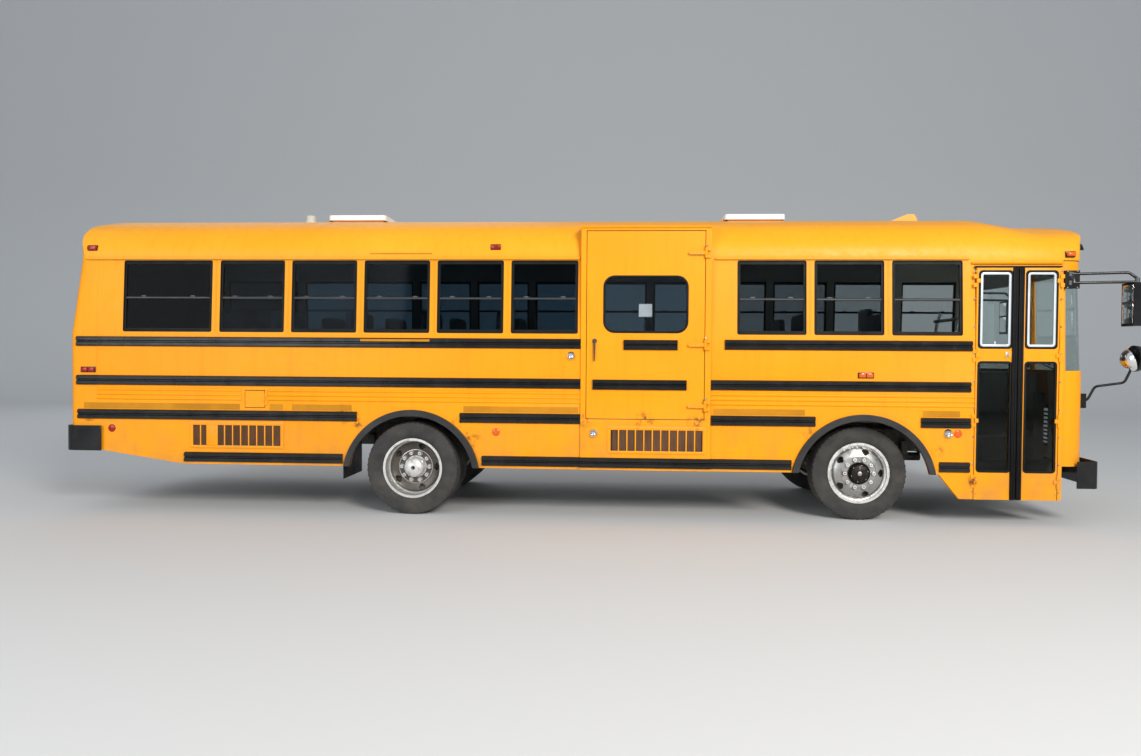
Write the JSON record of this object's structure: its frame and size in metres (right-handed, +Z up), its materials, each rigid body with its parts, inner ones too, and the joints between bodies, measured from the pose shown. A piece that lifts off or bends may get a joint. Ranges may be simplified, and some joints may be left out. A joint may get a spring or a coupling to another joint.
{
  "type": "school bus",
  "caption": "Flat-fronted school bus with a folding entrance door, a wheelchair lift door, dual rear wheels, steering front wheels and roof hatches.",
  "frame": {"origin": "on the ground under the middle of the bus", "axes": "+X forward, +Y to the driver's (left) side, +Z up"},
  "size_m": [10.6348, 2.85, 3.16],
  "materials": {
    "yellow_paint": "satin",
    "black_paint": "satin",
    "chassis_paint": "matt",
    "steel": "worn",
    "bright_steel": "polished",
    "cast_iron": "rough",
    "dark_glass": "tinted",
    "clear_glass": "clear",
    "tyre": "worn",
    "rubber": "matt",
    "seat_cover": "satin",
    "grey_plastic": "matt",
    "white_plastic": "gloss",
    "lens": "gloss",
    "clear_lens": "gloss",
    "sign_red": "gloss"
  },
  "bodies": {
    "body": {"roof": "yellow_paint", "rear_cap": "yellow_paint", "front_cap": "yellow_paint", "side_wall_right": "yellow_paint", "side_wall_left": "yellow_paint", "rear_wall": "yellow_paint", "front_fascia": "yellow_paint", "floor": "chassis_paint", "entrance_steps": "chassis_paint", "lift_frame": "yellow_paint", "door_hinges": "yellow_paint", "window_frames": "black_paint", "window_panes": "dark_glass", "windshield": "clear_glass", "front_grille": "black_paint", "rub_rails": "black_paint", "flares": "rubber", "condensers": "black_paint", "bumper_rear": "black_paint", "bumper_front": "black_paint", "chassis_frame": "chassis_paint", "front_axle": "chassis_paint", "rear_axle": "chassis_paint", "leaf_springs": "chassis_paint", "engine": "cast_iron", "drive_shaft": "chassis_paint", "fuel_tank": "steel", "exhaust": "steel", "seats": "seat_cover", "engine_cover": "grey_plastic", "dashboard": "grey_plastic", "mirrors": "black_paint", "roof_fittings": "white_plastic", "lamps": "lens", "head_lamps": "clear_lens"},
    "lift_door": {"lift_door": "yellow_paint", "lift_door_glass": "dark_glass"},
    "rear_door": {"rear_door": "yellow_paint"},
    "entrance_rear": {"entrance_leaf_rear": "black_paint", "entrance_glass_rear": "clear_glass"},
    "entrance_front": {"entrance_leaf_front": "black_paint", "entrance_glass_front": "clear_glass"},
    "hatch_rear": {"hatch_rear": "white_plastic"},
    "hatch_front": {"hatch_front": "white_plastic"},
    "fuel_door": {"fuel_door": "yellow_paint"},
    "stop_arm": {"stop_arm": "sign_red"},
    "knuckle_right": {"knuckle_right": "chassis_paint"},
    "knuckle_left": {"knuckle_left": "chassis_paint"},
    "front_wheel_right": {"tyre_front_right": "tyre", "wheel_front_right": "bright_steel"},
    "front_wheel_left": {"tyre_front_left": "tyre", "wheel_front_left": "bright_steel"},
    "rear_wheels_right": {"tyre_rear_right": "tyre", "wheel_rear_right": "bright_steel"},
    "rear_wheels_left": {"tyre_rear_left": "tyre", "wheel_rear_left": "bright_steel"}
  },
  "joints": [
    {"name": "front_wheel_spin_right", "type": "hinge", "parent": "knuckle_right", "child": "front_wheel_right", "pos_m": [2.6575, -0.953, 0.46], "axis": [0, 1, 0], "continuous": true},
    {"name": "front_wheel_spin_left", "type": "hinge", "parent": "knuckle_left", "child": "front_wheel_left", "pos_m": [2.6575, 0.953, 0.46], "axis": [0, 1, 0], "continuous": true},
    {"name": "rear_wheel_spin_right", "type": "hinge", "parent": "body", "child": "rear_wheels_right", "pos_m": [-1.7425, -1.061, 0.46], "axis": [0, 1, 0], "continuous": true},
    {"name": "rear_wheel_spin_left", "type": "hinge", "parent": "body", "child": "rear_wheels_left", "pos_m": [-1.7425, 1.061, 0.46], "axis": [0, 1, 0], "continuous": true},
    {"name": "steer_right", "type": "hinge", "parent": "body", "child": "knuckle_right", "pos_m": [2.6575, -0.835, 0.46], "axis": [0, 0, 1], "range_deg": [-35, 35]},
    {"name": "steer_left", "type": "hinge", "parent": "body", "child": "knuckle_left", "pos_m": [2.6575, 0.835, 0.46], "axis": [0, 0, 1], "range_deg": [-35, 35]},
    {"name": "lift_door_swing", "type": "hinge", "parent": "body", "child": "lift_door", "pos_m": [1.1375, -1.264, 1.7], "axis": [0, 0, 1], "range_deg": [0, 172]},
    {"name": "rear_door_swing", "type": "hinge", "parent": "body", "child": "rear_door", "pos_m": [-5.2795, -0.332, 1.7], "axis": [0, 0, 1], "range_deg": [0, 110]},
    {"name": "entrance_rear_swing", "type": "hinge", "parent": "body", "child": "entrance_rear", "pos_m": [3.6955, -1.226, 1.3], "axis": [0, 0, 1], "range_deg": [-88, 0]},
    {"name": "entrance_front_swing", "type": "hinge", "parent": "body", "child": "entrance_front", "pos_m": [4.4625, -1.226, 1.3], "axis": [0, 0, 1], "range_deg": [0, 88]},
    {"name": "hatch_rear_lift", "type": "hinge", "parent": "body", "child": "hatch_rear", "pos_m": [-2.9025, 0, 3.072], "axis": [0, 1, 0], "range_deg": [-60, 0]},
    {"name": "hatch_front_lift", "type": "hinge", "parent": "body", "child": "hatch_front", "pos_m": [1.4055, 0, 3.072], "axis": [0, 1, 0], "range_deg": [-60, 0]},
    {"name": "fuel_door_swing", "type": "hinge", "parent": "body", "child": "fuel_door", "pos_m": [-3.2225, -1.225, 1.137], "axis": [0, 0, 1], "range_deg": [0, 120]},
    {"name": "stop_arm_swing", "type": "hinge", "parent": "body", "child": "stop_arm", "pos_m": [3.5375, 1.26, 1.5], "axis": [0, 0, 1], "range_deg": [-90, 0]}
  ],
  "couplings": [
    {"joint": "steer_left", "follows": "steer_right", "ratio": 1},
    {"joint": "entrance_front_swing", "follows": "entrance_rear_swing", "ratio": -1}
  ]
}
